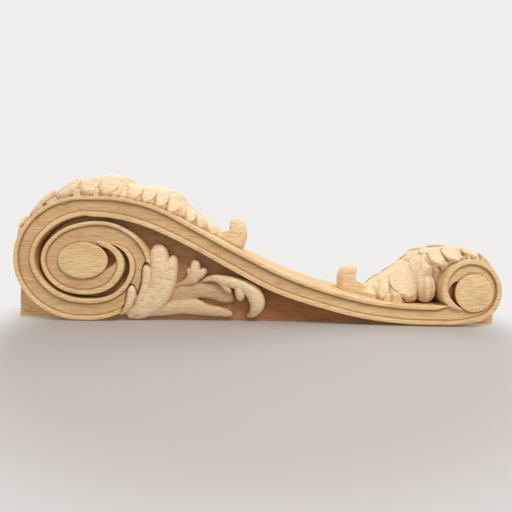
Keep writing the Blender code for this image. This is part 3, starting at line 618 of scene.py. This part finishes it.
# For each lobe: place of its end, how far back it starts, half width, share of the leaf's width that it
# reaches, rise above the leaf and height of its walls.
LARGE_LOBES = (
    (6, 7, 7, 1.01, 1.6, 2.6), (21.5, 15, 9.5, 1.01, 3.8, 4.2), (43.5, 20, 12, 1.01, 4.4, 5.2),
    (63, 18, 9.5, 1.01, 4.2, 7.4), (77.5, 16, 7.5, 1.01, 2.2, 6.4), (91, 16, 7, 1.01, 3.4, 6.4),
    (109, 13, 5.2, 1.01, 2.6, 5), (118.5, 13, 5, 1.01, 2.4, 5), (128, 13, 4.6, 1.01, 2.4, 5),
    (137, 13, 4.4, 1.04, 2.6, 5.2), (151, 11, 3.8, 1.04, 2.2, 4.8), (159, 10, 3.4, 1.05, 2, 4.6),
    (169, 10, 3.4, 1.08, 1.8, 5), (97, 34, 6, 0.5, 1.6, 3), (131, 26, 5, 0.5, 1.6, 3),
    (80, 34, 7, 0.6, 1.2, 3), (58, 30, 8, 0.6, 0.9, 3), (119, 24, 4.5, 0.6, 1.4, 3),
)
NOTCH_DEPTH = 1.5
NOTCH_HALF = 1.8
RIB_RISE = 0.7
RIB_HALF = 2.2
GOUGE_DEPTH = 0.9
GOUGE_PLACE = 5.0
GOUGE_HALF = 1.8
EDGE_DROP = 0.9
LOBE_ROOT = 0.12


def eased(value, limit, ease):
    """Soft minimum of value and limit: limit - ease * log(1 + exp((limit - value) / ease))."""
    return limit - ease * np.logaddexp(0, (limit - value) / ease)


def leaf_points(leaf, place, x, height):
    """Points (x, z, p) of ridge * (1 - u^2.2) + side * u^2.2 + out * height, where u is x as a share of the
    leaf's half width at that place along it. They are eased so that they stay inside the block."""
    stations, ridge, side, out, half = leaf
    ridge, side, out = (
        np.stack([np.interp(place, stations, line[:, axis]) for axis in (0, 1)], axis=-1)
        for line in (ridge, side, out)
    )
    blend = np.clip(np.abs(x) / np.interp(place, stations, half), 0, 1.1)[..., None] ** 2.2
    flat = ridge * (1 - blend) + side * blend + out * height[..., None]
    z = -eased(-eased(flat[..., 0], BLOCK_HIGH[1], 1.2), -BLOCK_LOW[1], 1.2)
    return np.stack([x, z, eased(flat[..., 1], BLOCK_HIGH[2], 0.8)], axis=-1)


def leaf_skin(leaf, floor, notches, hollow):
    """Body under the lobes: a midrib, rise * exp(-(x / half)^2), between two gouge cuts of the same form,
    pinched and darkened with painted shade at the notches, and walls that go down to the floor line and in by
    the hollow."""
    stations, half = leaf[0], leaf[4]
    u = np.sin(np.linspace(-1, 1, 111) * np.pi / 2 * 0.97) / np.sin(np.pi / 2 * 0.97)
    pinch = sum(np.clip(1 - np.abs(stations - notch) / NOTCH_HALF, 0, 1) for notch in notches)
    size = np.clip(half / 30, 0, 1)
    edge = half - (1.0 + 1.4 * pinch) * size
    x = u[None, :] * edge[:, None]
    mid = np.abs(x)
    rib = RIB_RISE * np.exp(-(mid / RIB_HALF) ** 2)
    rib -= GOUGE_DEPTH * np.exp(-((mid - GOUGE_PLACE) / GOUGE_HALF) ** 2)
    drop = NOTCH_DEPTH * (pinch * size)[:, None] * np.abs(u)
    drop += EDGE_DROP * np.clip(np.abs(u) * 2 - 0.6, 0, 1)
    place = np.repeat(stations[:, None], len(u), axis=1)
    upper = leaf_points(leaf, place, x, rib * size[:, None] - drop)
    walls = []
    for share, inset in ((0.12, 0.0), (0.4, 0.35), (0.7, 0.8), (1.0, 1.0)):
        line = upper[:, -1, 1:] * (1 - share) + floor * share
        wide = edge - np.minimum(hollow, edge - 2) * inset
        walls.append(np.column_stack([wide, line])[:, None])
    wall = np.concatenate(walls, axis=1)
    rings = np.concatenate([upper, wall, wall[:, ::-1] * (-1, 1, 1)], axis=1)
    dark = 0.6 * pinch[:, None] * np.concatenate([np.abs(u) ** 3, np.ones(2 * len(walls))])
    return tube(rings, dark)


def leaf_lobe(leaf, end, run, wide, reach, rise, thick):
    """Tongue on the leaf, with t from root to tip and v across it.

    Middle line: place = end - run * (1 - t)^1.3 and u = start + (reach - start) * t. Half width: it swells up
    to wide by t = 0.6 and closes with root(1 - ((t - 0.7) / 0.3)^3). Height: rise * ((v + 1) / 2)^0.7
    + v^2 / 2 - 1.1 * v^6, so one edge overlaps the next tongue. It grows out of 1.6 under the leaf, and the
    tip falls by 1.7 * ((t - 0.72) / 0.28)^3. Its walls go down by thick - 0.4, less that fall.
    """
    stations, half = leaf[0], leaf[4]
    t = 0.5 - 0.5 * np.cos(np.linspace(0, np.pi, 30))
    place = end - run * (1 - t) ** 1.3
    middle = (LOBE_ROOT + (reach - LOBE_ROOT) * t) * np.interp(place, stations, half)
    plan = np.column_stack([place, middle])
    swell = 0.35 + 0.65 * np.sin(np.minimum(t / 0.6, 1) * np.pi / 2)
    width = wide * swell * np.sqrt(np.clip(1 - (np.clip(t - 0.7, 0, 1) / 0.3) ** 3, 0.0004, 1))
    v = np.sin(np.linspace(-1, 1, 21) * np.pi / 2)
    flat = np.stack([inward(plan, width * step) for step in v], axis=1)
    grow = np.sin(np.minimum(t / 0.7, 1) * np.pi / 2)[:, None]
    height = (rise * ((v + 1) / 2) ** 0.7 + 0.5 * v ** 2)[None] * grow
    height += -1.1 * np.abs(v) ** 6 - 1.6 * (1 - grow)
    fall = 1.7 * (np.clip(t - 0.72, 0, 1) / 0.28) ** 3
    deep = thick - fall - 0.4
    height -= fall[:, None]
    flat[..., 1] = np.clip(flat[..., 1], 0.5, SIDE - 0.1)
    top = leaf_points(leaf, flat[..., 0], flat[..., 1], height)
    walls = []
    for edge, share in ((-1, 0.3), (-1, 0.65), (-1, 1), (0, 1), (0, 0.65), (0, 0.3)):
        place, x = flat[:, edge].T
        walls.append(leaf_points(leaf, place, x - share * 0.5, height[:, edge] - share * deep)[:, None])
    # Painted shade on the tongue's low edge and down its walls, darkest at their foot.
    dark = np.concatenate([0.5 * np.clip(-v, 0, 1) ** 5, [0.1, 0.4, 0.9, 0.9, 0.6, 0.5]])
    return tube(np.concatenate([top] + walls, axis=1), dark)


def large_leaf():
    """The leaf follows the scroll's front edge: ridge and side stand proud of it by the first two tables."""
    head = oval(VOLUTE_CENTRE, VOLUTE_AXES, np.arange(96, 0, -3))
    fine = smooth(np.vstack([head, smooth(BAND_LINE, 4)[::-1, :2]]), 6)
    length = np.concatenate([[0], np.cumsum(np.linalg.norm(np.diff(fine, axis=0), axis=1))])
    stations = np.linspace(0, 184, 280)
    outward = inward(fine, 1.0) - fine
    surface, normal = (
        np.column_stack([np.interp(LARGE_START + stations, length, line[:, axis]) for axis in (0, 1)])
        for line in (fine, outward)
    )
    ridge, side = (
        surface + normal * np.interp(stations, *zip(*table))[:, None] for table in (LARGE_RIDGE, LARGE_SIDE)
    )
    ridge[:, 0] = np.minimum(ridge[:, 0], BLOCK_HIGH[1])
    side[:, 0] = np.minimum(side[:, 0], BLOCK_HIGH[1])
    return stations, ridge, side, normal, np.interp(stations, *zip(*LARGE_HALF))


leaf = large_leaf()
surface_floor = leaf[1] - leaf[3] * (np.interp(leaf[0], *zip(*LARGE_RIDGE)) + 2)[:, None]
notches = [row[0] + row[2] for row in LARGE_LOBES if row[3] > 0.9]
lobes = [leaf_lobe(leaf, *row) for row in LARGE_LOBES]
skins = [leaf_skin(leaf, surface_floor, notches, 0.8)] + lobes + [mirrored(lobe) for lobe in lobes]
piece("large_leaf", skins, gouged_oak_painted_paler, 45)


# Small leaf: it climbs from the bottom over the small volute and spreads on to the band, undercut behind.
# Its rows are ridge z and p, side z and p, half width and how far the wall is cut in. Its floor is z and p,
# and its lobes are given as the large leaf's are.
SMALL_ROWS = (
    (-174.7, 27, -174.8, 26.5, 44.4, 0), (-173.5, 39, -172.8, 36.5, 44.4, 0),
    (-170, 48, -169.6, 43.5, 44.4, 0), (-162.6, 54.8, -161, 51, 44.4, 0),
    (-149, 56.2, -149.5, 52.4, 44.4, 0), (-137, 55, -142.3, 48.5, 42, 4), (-124, 52, -127.5, 43, 37, 12),
    (-117.5, 47, -121, 36, 34.5, 14), (-112, 42.8, -115.5, 25, 33.5, 7), (-103, 36.5, -107, 21.5, 33.5, 1),
    (-95.5, 31.5, -96, 21, 33, 0), (-90, 27.6, -91, 20.5, 27, 0), (-84, 25, -84, 21.5, 20, 0),
    (-78, 23.2, -78, 21, 11, 0),
)
SMALL_FLOOR = (
    (-173.4, 26.9), (-170.3, 36.8), (-165.7, 42.2), (-159.7, 45.5), (-150.5, 46.3), (-143.4, 42.6),
    (-131, 14), (-122, 11), (-115, 11), (-106, 11.3), (-95.5, 12.3), (-90.5, 12.8), (-84, 13.5),
    (-78, 14.5),
)
SMALL_LOBES = (
    (12, 10, 5.4, 1.0, 1.2, 3), (25, 14, 6, 1.0, 2, 5), (37, 14, 6, 1.0, 2.2, 5),
    (49, 14, 5.8, 1.0, 2.6, 5), (60, 15, 5.6, 1.0, 3.2, 6), (78, 17, 6.4, 0.86, 1.6, 4),
    (95, 24, 11, 1.0, 2.4, 6), (110, 12, 4.2, 1.0, 1.8, 5), (44, 26, 7, 0.5, 2.6, 3),
    (62, 24, 6.5, 0.42, 2.4, 3), (76, 22, 6, 0.34, 2.2, 3), (108, 18, 4.4, 0.45, 1.6, 3),
)
# Ribbed lobe that fills the hollow under the leaf's side: its centre as x, z, p and its half sizes.
BALL_CENTRE = (29.5, -124.5, 25.5)
BALL_HALF = (8.5, 7.6, 10.5)


def small_leaf():
    """Leaf, floor line and hollow from the tables made smooth. Places are distances along the side edge."""
    rows = smooth(SMALL_ROWS, 22)
    side = rows[:, 2:4]
    length = np.concatenate([[0], np.cumsum(np.linalg.norm(np.diff(side, axis=0), axis=1))])
    floor = smooth(SMALL_FLOOR, 22)
    out = rows[:, 0:2] - floor
    out /= np.linalg.norm(out, axis=1)[:, None]
    ridge = rows[:, 0:2] - out * 1.4
    return (length, ridge, side - out * 0.8, out, rows[:, 4]), floor, rows[:, 5]


def ball_skin():
    """Ovoid with its poles along p. At angle a from the pole and b around it, its radius is
    sin(a)^0.8 * (1 + 0.04 * cos(7 b)), and the valleys between its ribs have painted shade."""
    down = np.linspace(0.03, 0.97, 36)[:, None] * np.pi
    around = np.linspace(0, 2 * np.pi, 109)[:-1][None]
    radius = np.sin(down) ** 0.8 * (1 + 0.04 * np.cos(7 * around))
    shape = np.stack([radius * np.cos(around), radius * np.sin(around), np.cos(down) + 0 * around], axis=-1)
    return tube(np.array(BALL_CENTRE) + shape * BALL_HALF, 0.12 - 0.12 * np.cos(7 * around))


leaf, floor_line, hollow = small_leaf()
notches = [row[0] + 0.8 * row[2] for row in SMALL_LOBES if row[3] > 0.9]
lobes = [leaf_lobe(leaf, *row) for row in SMALL_LOBES] + [ball_skin()]
skins = [leaf_skin(leaf, floor_line, notches, hollow)] + lobes + [mirrored(lobe) for lobe in lobes]
piece("small_leaf", skins, gouged_oak_painted_paler, 45)


# Curled tips: the end of each leaf turns up and back in a hook, cut out as a side outline of z and p and
# then rounded off with a gouge on both sides.
LARGE_TIP = (
    (33, 61), (28, 65.4), (23.4, 67), (22.3, 70.6), (21.6, 74.8), (16, 76.0), (11, 72), (8.6, 64.5),
    (9.6, 57), (13, 50), (22, 53), (32, 58),
)
SMALL_TIP = (
    (-64, 25), (-64.2, 31), (-66.5, 36.6), (-71, 39.6), (-78.4, 39.2), (-76.8, 34), (-77.6, 29.6),
    (-81, 26), (-88, 23.8), (-90, 19), (-80, 15.5), (-66, 17.5),
)
TIP_HALF = 11


def tip_rings(contour):
    """The side outline closed and carried across. It shrinks towards its middle by
    0.42 * (1 - root(1 - u^3)) and, in two gouge cuts, by 0.07 * exp(-((u - 0.42) / 0.13)^2)."""
    closed = along(list(contour) + list(contour[:2]), np.linspace(0.5, len(contour) + 0.5, 121)[:-1])
    middle = closed.mean(axis=0)
    shares = np.sin(np.linspace(-1, 1, 31) * np.pi / 2)
    shrink = 0.42 * (1 - np.sqrt(np.clip(1 - np.abs(shares) ** 3, 0, 1)))
    shrink += 0.07 * np.exp(-((np.abs(shares) - 0.42) / 0.13) ** 2)
    rings = closed[None] + (middle - closed)[None] * shrink[:, None, None]
    x = np.repeat((shares * TIP_HALF)[:, None, None], closed.shape[0], axis=1)
    return np.concatenate([x, rings], axis=2)


piece("curled_tips", [tube(tip_rings(LARGE_TIP)), tube(tip_rings(SMALL_TIP))], gouged_oak_painted_paler, 60)


# Floor: a sheet of pale, matt paper just behind the corbel's back, smooth enough to show no pattern. It
# shows from the corbel's side only, so that it hides nothing from behind.
paper = bpy.data.materials.new("pale paper")
paper.use_nodes = True
tree = paper.node_tree
tree.nodes.clear()
sheet_shader = node(tree, "BsdfPrincipled", {"Base Color": colour("#A9A29C"), "Roughness": 0.9})
clear = node(tree, "BsdfTransparent")
facing = node(tree, "NewGeometry").outputs["Backfacing"]
# The sheet fades into the room's white: along the corbel from 0.135 m to 0.217 m from its middle, and
# beside it on the camera's side from 0.244 m to 0.363 m.
place = node(tree, "TexCoord").outputs["Object"]
round_place = node(
    tree, "Mapping", {"Location": (0.16, 0, 0), "Scale": (3.2, 0, 4.6)}, {"Vector": place},
).outputs[0]
away = node(tree, "VectorMath", {"operation": "LENGTH"}, {0: round_place}).outputs["Value"]
fade = node(
    tree, "MapRange", {"interpolation_type": "SMOOTHSTEP", "From Min": 0.62, "From Max": 1.0},
    {"Value": away},
).outputs[0]
hidden = node(tree, "Math", {"operation": "MAXIMUM"}, {0: facing, 1: fade}).outputs[0]
choice = node(tree, "MixShader", {}, {0: hidden, 1: sheet_shader.outputs[0], 2: clear.outputs[0]})
node(tree, "OutputMaterial", {}, {"Surface": choice.outputs[0]})
reach = 0.6
gap = 0.0004
mesh = bpy.data.meshes.new("floor")
corners = [(-reach, gap, -reach), (reach, gap, -reach), (reach, gap, reach), (-reach, gap, reach)]
mesh.from_pydata(corners, [], [(0, 1, 2, 3)])
mesh.materials.append(paper)
floor = bpy.data.objects.new("floor", mesh)
bpy.context.scene.collection.objects.link(floor)
floor.visible_shadow = False


# Room and lights: a plain white room, bright where the corbel's far side looks and a quarter dimmer behind
# the camera, a window on the far side, and two soft lights that fill the near side and the back.
world = bpy.data.worlds.new("room")
world.use_nodes = True
tree = world.node_tree
toward = node(tree, "TexCoord").outputs["Generated"]
toward_x = node(tree, "SeparateXYZ", {}, {0: toward}).outputs["X"]
level = node(
    tree, "MapRange", {"From Min": -1.0, "From Max": 0.2, "To Min": 0.64, "To Max": 0.87},
    {"Value": toward_x},
)
tree.nodes["Background"].inputs[0].default_value = colour("#FFFEFC")
tree.links.new(level.outputs[0], tree.nodes["Background"].inputs[1])
bpy.context.scene.world = world
bpy.context.scene.view_settings.view_transform = "Standard"


def soft_light(name, place, target, size, power):
    """Square area light at a place, turned to face the target."""
    data = bpy.data.lights.new(name, "AREA")
    data.size = size
    data.energy = power
    lamp = bpy.data.objects.new(name, data)
    aim = np.array(target, float) - np.array(place, float)
    aim /= np.linalg.norm(aim)
    beside = np.cross(aim, (0.0, 0.0, 1.0))
    beside /= np.linalg.norm(beside)
    above = np.cross(beside, aim)
    turned = Matrix([[beside[row], above[row], -aim[row]] for row in range(3)])
    lamp.matrix_world = Matrix.Translation(place) @ turned.to_4x4()
    bpy.context.scene.collection.objects.link(lamp)


soft_light("window", (1.1, -0.85, 0.3), (0, -0.04, 0), 0.8, 6.5)
soft_light("room_fill", (-0.78, -1.0, -0.4), (0, -0.05, -0.05), 0.35, 10)
soft_light("back_fill", (0.1, 1.2, 0.3), (0, 0, 0), 1.2, 8)
